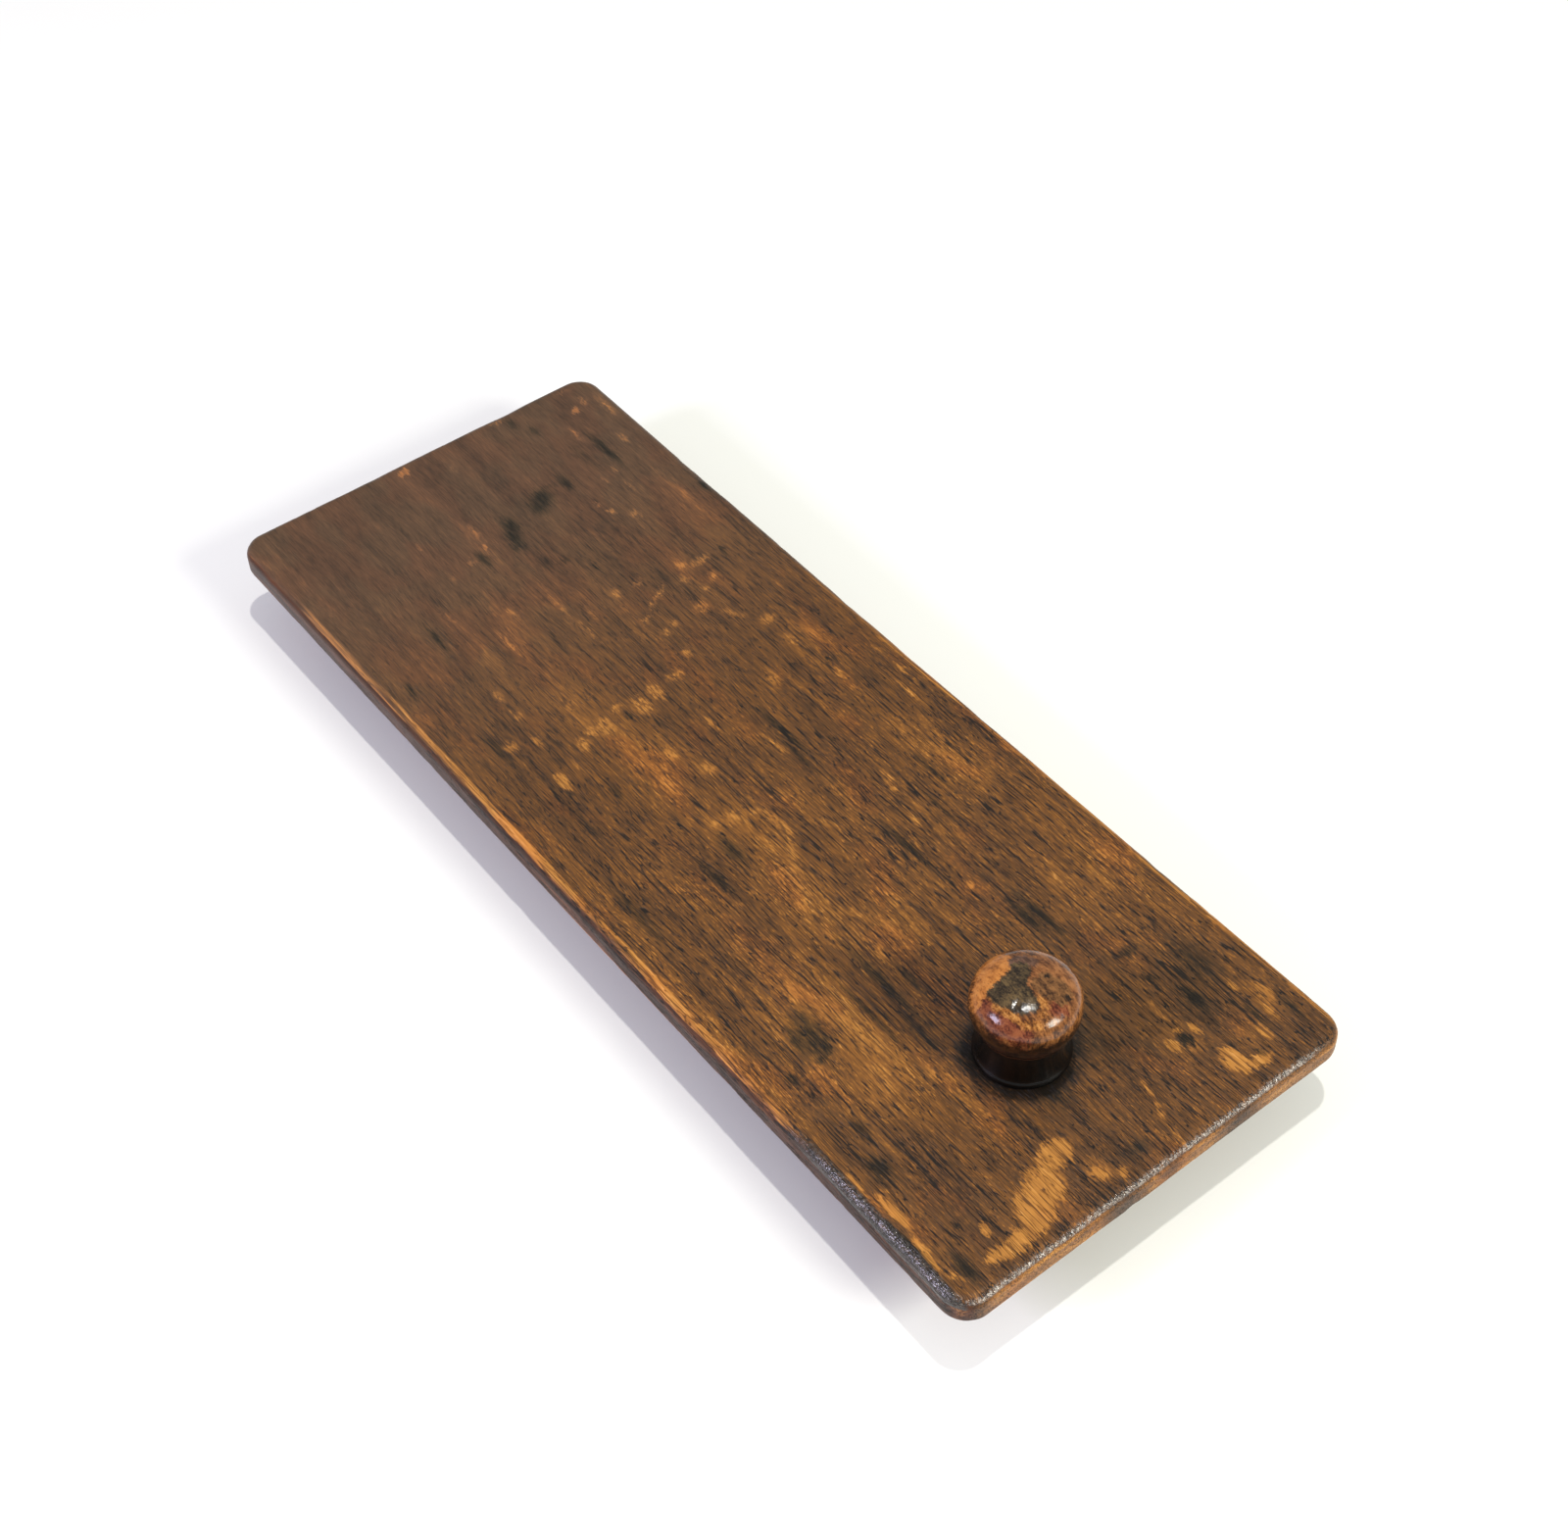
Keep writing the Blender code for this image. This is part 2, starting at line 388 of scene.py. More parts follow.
def makePlank():
    radius = plank["arris"]
    thick = plank["thickness"]
    base = plankHigh.z - plank["bow"] - thick
    levels = []
    for i in range(1, plank["arrisCells"] + 1):
        angle = math.pi / 2 * i / plank["arrisCells"]
        levels.append((radius * (1 - math.sin(angle)), thick - radius * (1 - math.cos(angle))))
    for i in range(1, plank["sideCells"]):
        levels.append((0.0, thick - radius - (thick - 2 * radius) * i / plank["sideCells"]))
    for i in range(plank["arrisCells"]):
        angle = math.pi / 2 * i / plank["arrisCells"]
        levels.append((radius * (1 - math.cos(angle)), radius * (1 - math.sin(angle))))

    bm = bmesh.new()
    along, across = plank["alongCells"], plank["acrossCells"]
    caps = []
    for height in (thick, 0.0):
        rows = capPoints(outlinePoints(radius))
        caps.append([[bm.verts.new((x, y, height)) for x, y in row] for row in rows])
    rims = []
    for grid in caps:
        rim = [grid[0][i] for i in range(along)]
        rim += [grid[j][along] for j in range(across)]
        rim += [grid[across][along - i] for i in range(along)]
        rim += [grid[across - j][0] for j in range(across)]
        rims.append(rim)
    rings = [rims[0]]
    for inset, height in levels:
        rings.append([bm.verts.new((x, y, height)) for x, y in outlinePoints(inset)])
    rings.append(rims[1])
    for j in range(across):
        for i in range(along):
            for grid, flip in ((caps[0], False), (caps[1], True)):
                quad = [grid[j][i], grid[j][i + 1], grid[j + 1][i + 1], grid[j + 1][i]]
                bm.faces.new(quad[::-1] if flip else quad)
    count = len(rims[0])
    for upper, lower in zip(rings, rings[1:]):
        for i in range(count):
            bm.faces.new((upper[i], lower[i], lower[(i + 1) % count], upper[(i + 1) % count]))
    weatherPlank(bm)
    for vertex in bm.verts:
        reach = vertex.co.x / plankHigh.x
        vertex.co.z += base + plank["bow"] * reach**2
    return addPiece("plankWorn", bm)


# hollows in the faces, and dents and rubbed places on the edges
def weatherPlank(bm):
    bm.normal_update()
    moves = []
    for vertex in bm.verts:
        x, y, z = vertex.co / mm
        swell = noise.noise(Vector((x / 60, y / 24, z / 30)))
        swell += 0.5 * noise.noise(Vector((x / 22, y / 9, 5 + z / 12)))
        move = swell * plank["unevenness"]
        if abs(vertex.normal.z) < 0.985:
            dent = noise.noise(Vector((x / 11, y / 11, 9 + z / 7))) - 0.22
            nick = noise.noise(Vector((x / 3.2, y / 3.2, 21 + z / 3.2))) - 0.30
            move -= plank["edgeWear"] * (max(0.0, dent) * 1.5 + max(0.0, nick) * 0.9)
        moves.append(vertex.normal * move)
    for vertex, move in zip(bm.verts, moves):
        vertex.co += move


drill = {
    "sides": 32,
    "bore": 0.0023,
    "sinkWide": 0.0044,
    "sinkNarrow": 0.0024,
    "sinkDepth": 0.0042,
    "sinkLift": 0.0005,  # its middle, above the end of the screw's head
    "past": 0.0003,  # how far a hole runs past the point of its screw
}


def addDrill(bm, place, wide, narrow, depth):
    bit = bmesh.ops.create_cone(
        bm, cap_ends=True, segments=drill["sides"], radius1=wide, radius2=narrow, depth=depth
    )
    bmesh.ops.transform(bm, matrix=Matrix.Translation(place), verts=bit["verts"])


# one countersunk hole below the knob, and plain ones where the batten screws come up
def drillPlank(piece):
    bm = bmesh.new()
    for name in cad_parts:
        if "screw" not in name:
            continue
        low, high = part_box(name)
        middle = (low + high) / 2
        depth = 2 * plank["thickness"]
        if name == "knob_screw":
            bore = (middle.x, middle.y, plankHigh.z)
            sink = (middle.x, middle.y, low.z + drill["sinkLift"])
            addDrill(bm, sink, drill["sinkWide"], drill["sinkNarrow"], drill["sinkDepth"])
        else:
            bore = (middle.x, middle.y, high.z + drill["past"] - depth / 2)
        addDrill(bm, bore, drill["bore"], drill["bore"], depth)
    mesh = bpy.data.meshes.new("drills")
    bm.to_mesh(mesh)
    bm.free()
    drills = bpy.data.objects.new("drills", mesh)
    bpy.context.collection.objects.link(drills)
    hole = piece.modifiers.new("holes", "BOOLEAN")
    hole.operation = "DIFFERENCE"
    hole.object = drills
    hole.use_self = True
    bpy.context.view_layer.update()
    drilled = piece.evaluated_get(bpy.context.evaluated_depsgraph_get())
    cut = bpy.data.meshes.new_from_object(drilled)
    piece.modifiers.clear()
    piece.data = cut
    bpy.data.objects.remove(drills)


def addPiece(name, bm):
    mesh = bpy.data.meshes.new(name)
    bm.normal_update()
    bm.to_mesh(mesh)
    bm.free()
    mesh.shade_smooth()
    piece = bpy.data.objects.new(name, mesh)
    bpy.context.collection.objects.link(piece)
    return piece


# Where the varnish has gone or gone dark, in millimetres from the middle of the plank.
# Each is (x, y, half length, half width, degrees, strength).
bareSpots = [
    # the patches by the knob end
    (174.5, -22, 7.5, 11, 12, 1), (180, -31, 11, 9.5, 20, 1), (184, -38, 11.5, 9.5, 0, 1),
    (189, -48, 5, 18, 0, 1), (188.5, -57.5, 4, 6, 0, 0.9), (187, -16, 7.5, 6, 40, 0.66),
    (190.5, -11, 4, 5, 0, 0.6), (180.5, -53.5, 2.8, 2.8, 0, 0.85), (184, 41, 9, 5.5, 0, 1),
    (188, 47, 4.5, 8, 0, 0.9), (182, 55, 9, 3.6, 0, 0.66), (168.5, 30.8, 4.6, 3.2, 10, 0.85),
    (168, 39.8, 4.6, 2.8, 0, 0.66), (165.3, 35.5, 2.4, 5, 0, 0.62), (171, 66, 10, 6, 0, 0.56),
    (164, 60, 10, 3, 0, 0.54), (178, 62, 11, 2.8, 0, 0.6), (160, -69.6, 14, 2.8, 3, 0.9),
    (176, -71.4, 12, 2.4, -6, 0.9), (186, -70, 7, 2.2, 30, 0.66), (147, -72, 14, 2, 0, 0.66),
    # lone ones farther along
    (-191.2, -9.4, 3.8, 4.6, 30, 0.86), (-30.6, -49.4, 8.6, 4.4, -4, 0.72),
    (-180.4, 60.2, 3.2, 3.2, -40, 0.74), (-139, -7.8, 5.6, 2.2, -10, 0.66),
    (-106.2, -18.8, 4.4, 1.8, 6, 0.66), (-120.4, 44.4, 3.4, 3.6, -50, 0.56),
    (-88.6, 41.2, 5.2, 3, 0, 0.6), (-86, 49.6, 2.2, 7, 6, 0.56), (-67.6, 35.8, 3.2, 2.8, 0, 0.54),
    (-91.4, 14.8, 5.4, 2.4, 0, 0.56), (-21.8, 3.8, 5.6, 1.9, 0, 0.62),
    (-48.2, 49.8, 2.8, 3.4, 0, 0.54),
]

wornSpots = [
    # by the knob end
    (187, -16, 10, 9, 40, 0.7), (180, 50, 16, 12, 0, 0.5), (172, 64, 18, 8, 0, 0.6),
    (173.3, 35.5, 5, 6.5, 0, 0.6), (182, -40, 18, 20, 0, 0.45), (174, 14.2, 7, 2.2, -6, 0.8),
    (182.5, 11.8, 8.5, 2.4, -14, 0.9), (193, 9, 8, 2, -12, 0.85), (157, 35.8, 9.5, 2.6, 0, 0.66),
    (152, 33.5, 6, 1.8, 0, 0.6), (158, -53.5, 7, 3.2, 0, 0.62), (136, -27, 16, 4, 2, 0.66),
    (131, -31, 8, 4, 0, 0.66), (152, -27.5, 18, 2.2, 0, 0.6),
    # the lighter ground between the knob and the middle
    (106, -37, 36, 10, 2, 0.66), (88, -43, 28, 8, 0, 0.62), (122, -43, 24, 9, -4, 0.64),
    (92, -57.5, 20, 3.6, 0, 0.64), (112, -56, 16, 4.4, -8, 0.64), (83, -5, 18, 6.5, 0, 0.6),
    (86.5, -13.2, 6, 2.4, -35, 0.84), (74, -22, 20, 3.4, 0, 0.58), (110, 38.5, 14, 2.2, 0, 0.6),
    (84.8, 24.8, 2.6, 3.4, 0, 0.85), (119, 45, 20, 2.2, 0, 0.52), (40, 54, 30, 6, 0, 0.55),
    # the curved rub
    (16, -15, 6.5, 7.5, 0, 0.8), (14.5, -22, 4.4, 5.6, 0, 0.76), (18.5, -8.6, 6.2, 2.8, 44, 0.84),
    (23.5, -6, 8, 2.5, 14, 0.9), (29.5, -5.6, 8.5, 2.5, -4, 0.94),
    (35.8, -7.6, 8.5, 2.5, -24, 0.94), (41.5, -11.2, 8.5, 2.5, -33, 0.94),
    (47, -15, 8.5, 2.6, -33, 0.94), (52.5, -18.2, 8, 2.6, -24, 0.92),
    (58.5, -20.4, 7.5, 3, -14, 0.92),
    # the row of rubs across the middle
    (-48.2, 48.8, 5, 6, 0, 0.84), (-57.5, 41.2, 8.5, 2.2, 32, 0.84), (-67, 34, 5, 6, 0, 0.8),
    (-66.8, 21.8, 4.8, 3.2, 0, 0.8), (-64.6, 17.3, 4.4, 4.4, 0, 0.8), (-52.4, 17, 4.4, 4.4, 0, 0.8),
    (-46, 7.6, 4, 7, 0, 0.9), (-44.4, -2, 8.5, 5.6, 0, 0.9), (-42, -9.4, 9.5, 6.2, 0, 0.98),
    (-46.4, -16.8, 3.6, 4, 0, 0.9), (-41.7, -24.6, 9, 6.4, 0, 0.98), (-43, -30, 6, 4.6, 0, 0.84),
    (-40, -34.8, 6.6, 4.6, 0, 0.94), (-35.4, 48.8, 7.6, 3.4, 0, 0.84),
    (-33.8, 56, 11, 3.4, 0, 0.66), (-25, 32.6, 10.4, 4.4, -6, 0.8), (-21.8, 3.8, 8, 2.8, 0, 0.8),
    (-19, -15, 6.6, 4.8, 0, 0.92), (-16, -20, 6, 2.8, 0, 0.76), (-5.8, -9.6, 6.4, 6.4, 0, 0.84),
    (-7.4, -23.6, 9, 5.2, 0, 0.86), (-30.6, -49.4, 13, 6, -4, 0.6), (-65, -44.4, 6.4, 3.8, 0, 0.8),
    (-54.2, -54.2, 4.6, 5.4, 0, 0.86), (-51.4, -45.6, 7.6, 3, 0, 0.8),
    (-33.5, -41.8, 10, 2, 0, 0.66), (-44, -5, 22, 38, 0, 0.34),
    # flecks on the far side
    (-1, 69, 7, 2.8, 0, 0.9), (6.2, 69.2, 3.2, 2.6, 0, 0.8), (8.5, 64, 18, 2, 0, 0.76),
    (-11.4, 51.2, 6.6, 2.6, -12, 0.86), (-12.4, 68.2, 6, 2, 0, 0.72),
    (35.6, 33.4, 8.6, 2.6, -14, 0.96), (48.5, 33.6, 5, 2.2, -10, 0.76),
    (53.4, 28.6, 8, 2.6, -10, 0.92), (59, 23.3, 3.2, 2.2, 0, 0.84), (62.4, 22.4, 2.8, 2, 0, 0.8),
    (26, 17.2, 9, 2.2, 0, 0.7), (-0.5, 14.5, 14, 2, 4, 0.8), (40, 13.4, 8, 2, 0, 0.7),
    (24.6, 26, 5.2, 5.2, 0, 0.62), (40, 7.8, 6, 1.8, 0, 0.66),
    # the cluster on the far third
    (-86, 47.6, 4, 11, 8, 0.8), (-88.6, 41.2, 8.2, 4.8, 0, 0.84), (-82.2, 38, 4.6, 5.6, 0, 0.76),
    (-77.2, 46.4, 4.6, 4.8, 0, 0.82), (-74, 41, 3.4, 3.4, 0, 0.8), (-82, 27, 7.6, 2, -52, 0.9),
    (-78.2, 21.4, 7, 1.9, -60, 0.84), (-74, 15.4, 2.2, 5.2, 12, 0.82),
    (-91.4, 14.8, 8.4, 4, 0, 0.74), (-90.8, 24, 3, 9, 0, 0.62), (-106.2, -18.8, 6.4, 2.6, 6, 0.8),
    (-94, -28, 19, 2.1, 2, 0.82), (-98.6, -4, 16, 1.6, 0, 0.76), (-82, -3, 16, 1.7, 0, 0.76),
    (-120.4, 44.4, 5, 5.4, -50, 0.7), (-126.6, 38.4, 4.2, 2.8, 20, 0.8),
    (-132.6, 36.4, 2.2, 2.2, 0, 0.8), (-142, 46, 4.6, 2, 0, 0.62), (-133.5, 51.6, 12, 1.8, 0, 0.66),
    (-144.5, 52.4, 4.4, 2, 0, 0.74), (-118, 65, 14, 1.8, 0, 0.6), (-157.2, 65.2, 6, 3, 0, 0.8),
    (-183.6, 65.4, 5.6, 2.6, 0, 0.82), (-180.4, 60.2, 5, 4.6, -40, 0.66),
    (-169.4, 52.4, 13, 3, 2, 0.7), (-176, 71, 15, 3.2, 0, 0.82), (-148, -6.5, 14, 4, 0, 0.66),
    (-136, -16, 4.4, 4, 0, 0.72), (-154.5, -26.2, 10, 1.4, -8, 0.66),
    (-134.6, -25.6, 12, 2.6, 0, 0.56), (-116, -37, 14, 2, 0, 0.62), (-75.5, -44.6, 8, 3, 0, 0.74),
    (-182, 6.2, 6, 4, 0, 0.56), (-193.6, 33, 2.8, 9, 0, 0.66), (-192.6, 62, 2.4, 9, 0, 0.6),
    (-88, 2.5, 14, 1.6, 0, 0.62), (-60, 62, 16, 3, 0, 0.55),
]

darkSpotsAndFootShade = [
    (-150, 34.4, 8.5, 4.2, 0, 0.74), (-148.4, 23, 8.5, 7.4, -10, 0.84), (-145.6, 19, 10, 5, 0, 0.8),
    (-143, 5.6, 9, 5.6, -8, 0.84), (-137.4, 3, 11, 4.4, 0, 0.8), (-133, 0.6, 6, 4, 0, 0.6),
    (-134.8, -11.4, 8, 3.4, 0, 0.8), (-116.2, 10.8, 3.6, 5, 0, 0.55), (-120, 4.8, 8, 6, 0, 0.45),
    (-150, 12, 20, 30, 0, 0.22), (-152, 28, 3, 14, 0, 0.4), (-156, 56.4, 20, 3, 0, 0.8),
    (-158, 48, 22, 5, 0, 0.45), (-180.8, 41.4, 6, 4, 0, 0.6), (-190, 37, 10, 4, 0, 0.55),
    (-182, 29, 16, 3, 0, 0.4), (-117, 72.8, 8, 2.4, 0, 0.6), (-85.8, 57.6, 3.6, 2, 0, 0.8),
    (-107, 17.4, 8, 0.9, 0, 0.7), (-112, -46, 14, 2.6, 0, 0.6), (-97, -66.2, 6, 2.4, 0, 0.6),
    (-72, -66, 22, 5, 0, 0.35), (-147, -50, 40, 14, 0, 0.22), (-19.4, 52.6, 2.6, 1.8, 0, 1),
    (9.6, 30.4, 2.2, 1.6, 0, 0.9), (28.2, 30.6, 1.2, 1, 0, 0.9), (-3, 20.2, 24, 2.4, 0, 0.8),
    (8, 17.4, 18, 1.5, 0, 0.8), (60, 20, 22, 2.6, 0, 0.75), (40, 47, 16, 2.4, 0, 0.7),
    (55, 38.6, 20, 1, 0, 0.8), (-41, -15.4, 2.4, 1.3, 0, 1), (-26.4, -19.6, 3.2, 1, -36, 1),
    (27, -24, 13, 4.4, 0, 0.82), (34, -35, 16, 3.6, 0, 0.6), (-16, -38.6, 10, 2.6, 0, 0.55),
    (-34, -34, 9, 1.6, 0, 0.5), (30, -63, 34, 5, 0, 0.55), (-14, -54, 26, 3.6, 0, 0.45),
    (-55, -58, 18, 3.6, 0, 0.55), (-38.6, 10.2, 3, 0.9, 60, 0.9), (98.6, -50.6, 15, 9, -14, 0.9),
    (104.6, -49, 6.5, 2.4, -40, 1.4), (93, -47.6, 7, 1.8, 8, 1.1), (97, -54.6, 8, 1.8, -12, 1.2),
    (107, -53, 2.6, 3.4, 0, 1.1), (107, 34, 24, 2.6, 0, 0.8), (104, 30, 14, 3.4, 0, 0.75),
    (96, -20.4, 33, 3, 0, 0.82), (102, -13, 18, 3, 0, 0.6), (120, -24, 22, 2.6, 0, 0.6),
    (104, -31, 30, 1.2, 0, 0.9), (134.6, 44.6, 3.4, 7, 0, 0.95), (146, 42.8, 3.6, 4.6, 0, 0.75),
    (160.4, 48, 9, 4.4, 0, 0.85), (150, 58, 22, 13, 0, 0.5), (176, 57.6, 10, 2.2, 0, 0.75),
    (180, 68, 12, 2.6, 0, 0.6), (169.6, 35.2, 3.2, 3.2, 0, 1.6), (186.2, 49, 2.6, 1.5, 0, 1.2),
    (152, 14, 16, 9, 0, 0.42), (176, 22, 18, 8, 0, 0.35), (120, 6, 20, 6, 0, 0.4),
    # the wide spot at (140, -5) round the knob's foot is stain and painted contact shade together
    (140, -17.5, 22, 5.5, 0, 0.6), (158, -8, 12, 9, 0, 0.55), (140, -5, 21, 21, 0, 0.75),
    (174.4, -58.8, 1.6, 1.1, 0, 1.3), (147, -63.6, 9, 5.6, 0, 0.75), (107, -64, 4, 3.6, 0, 0.7),
    (133, -59, 8, 4, 0, 0.6), (186, -66, 9, 4, 0, 0.9), (170, -72.8, 16, 1.6, 4, 1),
    (178, -45, 8, 8, 0, 0.3), (188, -2, 6, 8, 0, 0.55), (95, 60, 16, 3, 0, 0.4),
    (119, 20, 14, 3, 0, 0.45),
]

# where the wood shows warmer through thin varnish
goldenSpots = [
    (106, -40, 60, 20, 2, 1), (60, -16, 60, 18, 0, 0.9), (30, -14, 40, 22, 0, 0.8),
    (80, 0, 34, 14, 0, 0.8), (40, 54, 46, 15, 0, 0.8), (96, 64, 40, 11, 0, 0.7),
    (100, 48, 40, 9, 0, 0.6), (-30, 58, 26, 9, 0, 0.7), (-96, -22, 34, 12, 0, 0.8),
    (-60, -30, 40, 14, 0, 0.7), (-20, -26, 40, 20, 0, 0.7), (-120, 62, 50, 9, 0, 0.5),
    (70, -70, 70, 6, 0, 0.9), (-90, 8, 30, 10, 0, 0.5), (30, 6, 50, 9, 0, 0.6),
    (150, -30, 40, 12, 0, 0.6), (186, -40, 20, 26, 0, 0.5), (172, 60, 26, 16, 0, 0.5),
    (-100, -36, 30, 4, 0, 0.6), (-140, -9, 24, 4, 0, 0.8), (126, -50, 30, 12, 0, 0.6),
]

# on the edge at the knob end
endBlots = [
    (197, 31, 6, 12, 0, 1.1), (197, -15, 6, 11, 0, 1.1),
    (197, -70, 6, 6, 0, 0.7), (197, 2, 6, 6, 0, 0.5),
]

plankLook = {
    "nearKnob": [
        (0.00, tone(236, 176, 104)),
        (0.17, tone(208, 144, 66)),
        (0.33, tone(164, 108, 48)),
        (0.50, tone(126, 83, 41)),
        (0.66, tone(103, 70, 41)),
        (0.82, tone(72, 52, 35)),
        (1.00, tone(32, 25, 20)),
    ],
    "farEnd": [
        (0.00, tone(212, 152, 94)),
        (0.17, tone(182, 126, 76)),
        (0.33, tone(138, 99, 68)),
        (0.50, tone(109, 82, 62)),
        (0.66, tone(92, 70, 54)),
        (0.82, tone(66, 53, 43)),
        (1.00, tone(36, 31, 27)),
    ],
    "nearSide": [
        (0.20, tone(214, 142, 72)),
        (0.50, tone(104, 56, 27)),
        (0.72, tone(62, 35, 19)),
        (1.00, tone(28, 18, 12)),
    ],
    "underneath": [(0.3, tone(92, 64, 40)), (0.55, tone(132, 94, 56)), (0.75, tone(168, 126, 80))],
    "red": (1.05, 0.95, 0.93),
    "stain": (0.88, 0.96, 0.84),
    "brightness": (0.71, 0.70, 0.65),
    # the whitish colour of the painted glints
    "paintedGlint": tone(190, 178, 166),
    "shine": 0.25,
    "coatRoughness": 0.10,
    "relief": 0.00022,
}


# short dark ticks and longer lines along the grain, crowded in some places
def openPores(paint, flow, crisp):
    crowd = paint.noise(paint.stretch(flow, (50, 9, 9), (60, 2, 8)), detail=2)
    tick = paint.noise(paint.stretch(flow, (6, 0.66, 0.66), (3, 40, 6)), detail=0)
    line = paint.noise(paint.stretch(flow, (32, 1.00, 1.00), (8, 90, 2)), detail=0)
    tick = paint.swing(crowd, 0.35, tick)
    line = paint.swing(crowd, 0.30, line)
    # a pore runs where the noise crosses its middle value, which makes thin lines
    gaps = paint.noise(paint.stretch(flow, (9, 1.6, 1.6), (44, 5, 5)), detail=2)
    gaps = paint.step(gaps, 0.47, 0.56)
    tick = paint.step(paint.off(tick, 0.56), 0.060, 0.020)
    line = paint.step(paint.off(line, 0.58), 0.046, 0.016)
    pores = paint.most(paint.times(tick, gaps), line)
    return paint.times(pores, paint.add(crisp, 0.88, 0.12))


def varnishedPlank():
    paint = newMaterial("plankVarnish")
    shader = paint.shader
    at = paint.vector("SUBTRACT", paint.position(mm), (0, 0, middleOfTop().z / mm))
    along, across, up = paint.apart(at)
    crisp = paint.step(along, -190, 70)

    # the fibres wander a little from side to side
    wander = paint.noise(paint.stretch(at, (90, 26, 26)), detail=2, colour=True)
    flow = paint.astray(at, wander, (0, 6, 2))
    broad = paint.noise(paint.stretch(flow, (75, 9, 9)), detail=3, roughness=0.6)
    middle = paint.noise(paint.stretch(flow, (20, 1.8, 1.8), (31, 7, 3)), detail=3, roughness=0.62)
    fine = paint.noise(paint.stretch(flow, (4.6, 0.38, 0.38), (11, 3, 9)), detail=1, roughness=0.6)
    cloud = paint.noise(paint.stretch(at, (30, 17, 17), (5, 21, 3)), detail=3)
    blotch = paint.noise(paint.stretch(at, (11, 5, 5), (2, 14, 8)), detail=3, roughness=0.6)

    pores = openPores(paint, flow, crisp)

    # ragged edges for whatever was rubbed or stained
    rag = paint.stretch(flow, (4.0, 0.9, 0.9), (9, 9, 9))
    rag = paint.noise(rag, detail=4, roughness=0.75, colour=True)
    ragged = paint.astray(at, rag, (12, 4.0, 0))
    streaky = paint.swing(middle, 0.6, paint.swing(fine, 0.30, 0.0))
    bare = paint.add(paint.spots(ragged, bareSpots, 16), 1.30, streaky)
    bare = paint.step(bare, 0.36, 0.62)
    rubbed = paint.add(paint.spots(ragged, wornSpots, 16), 1.25, streaky)
    scraps = paint.noise(paint.stretch(flow, (2.6, 0.9, 0.9), (17, 5, 2)), detail=2, roughness=0.6)
    scraps = paint.step(scraps, 0.40, 0.56, 0.72)
    rubbed = paint.times(paint.step(rubbed, 0.26, 0.90), paint.math("ADD", scraps, 0.34))
    rubbed = paint.most(bare, rubbed)
    # stains, and the painted contact shade round the knob's foot
    stainedAndFootShaded = paint.step(paint.spots(ragged, darkSpotsAndFootShade, 16), 0.08, 0.80)
    golden = paint.step(paint.spots(ragged, goldenSpots, 16), 0.0, 0.8)

    # small golden flecks between the pores
    fleck = paint.noise(paint.stretch(flow, (1.8, 0.5, 0.5), (70, 1, 1)), detail=2, roughness=0.6)
    fleck = paint.swing(cloud, 0.35, paint.swing(crisp, 0.10, fleck))
    fleck = paint.step(fleck, 0.60, 0.70)

    # which way each place faces
    facing = paint.nodes.new("ShaderNodeTexCoord").outputs["Normal"]
    east, north, upward = paint.apart(facing)
    sideOn = paint.step(paint.math("ABSOLUTE", upward), 0.80, 0.35)
    below = paint.step(upward, -0.35, -0.75)
    nearSide = paint.step(north, -0.25, -0.6)
    knobEnd = paint.step(east, 0.25, 0.6)
    upperRound = paint.times(paint.step(upward, 0.98, 0.93), paint.step(upward, 0.50, 0.66))

    calm = paint.step(along, 125, 160, 0.35)
    lively = paint.times(crisp, paint.inverse(calm))
    depth = paint.swing(broad, 0.50, paint.add(calm, 0.14, 0.60))
    depth = paint.swing(blotch, 0.22, depth)
    depth = paint.swing(middle, paint.add(lively, 0.12, 0.32), depth)
    depth = paint.swing(fine, paint.add(lively, 0.42, 0.40), depth)
    depth = paint.add(golden, -0.15, depth)
    depth = paint.add(fleck, paint.add(crisp, -0.18, -0.02), depth)
    wood = paint.swing(fine, 0.35, paint.swing(middle, 0.45, 0.22))

    # the sides: dark below the near edge, tan at the knob end
    sideGrain = paint.noise(paint.stretch(at, (34, 22, 2.4), (2, 80, 4)), detail=3, roughness=0.6)
    sideDepth = paint.add(nearSide, 0.05, 0.58)
    sideDepth = paint.add(knobEnd, -0.26, sideDepth)
    sideDepth = paint.add(paint.spots(ragged, endBlots, 40), 0.40, sideDepth)
    sideDepth = paint.swing(sideGrain, 0.9, sideDepth)
    lowerLine = paint.times(paint.step(up, -7.9, -8.9), paint.step(along, -90, 0))
    sideDepth = paint.add(lowerLine, -0.40, sideDepth)
    depth = paint.mix(sideOn, depth, sideDepth)

    # the upper edges are rubbed in long streaks, but for the glossy corner
    glossy = paint.times(paint.step(across, -72.0, -73.4), paint.step(along, 112, 140))
    glossy = paint.times(glossy, paint.step(upward, 0.05, 0.25))
    nearRub = paint.times(paint.step(across, -71.8, -72.9), paint.step(upward, 0.54, 0.72))
    nearRub = paint.times(nearRub, paint.step(along, -192, -120, 0.9))
    nearRub = paint.times(nearRub, paint.step(along, 142, 112))
    farRub = paint.times(paint.step(across, 71.6, 73.6), paint.step(along, -110, -20, 0.8))
    farRub = paint.times(farRub, paint.step(upward, 0.2, 0.5))
    edgeRub = paint.most(nearRub, farRub)
    longStreak = paint.noise(paint.stretch(at, (42, 1.6, 1.6), (7, 7, 7)), detail=3, roughness=0.6)
    edgeRub = paint.add(edgeRub, 0.78, paint.swing(longStreak, 1.5, streaky))
    edgeRub = paint.step(edgeRub, 0.38, 0.82)
    rubbed = paint.most(paint.times(rubbed, paint.inverse(sideOn)), edgeRub)
    rubbed = paint.times(rubbed, paint.inverse(glossy))

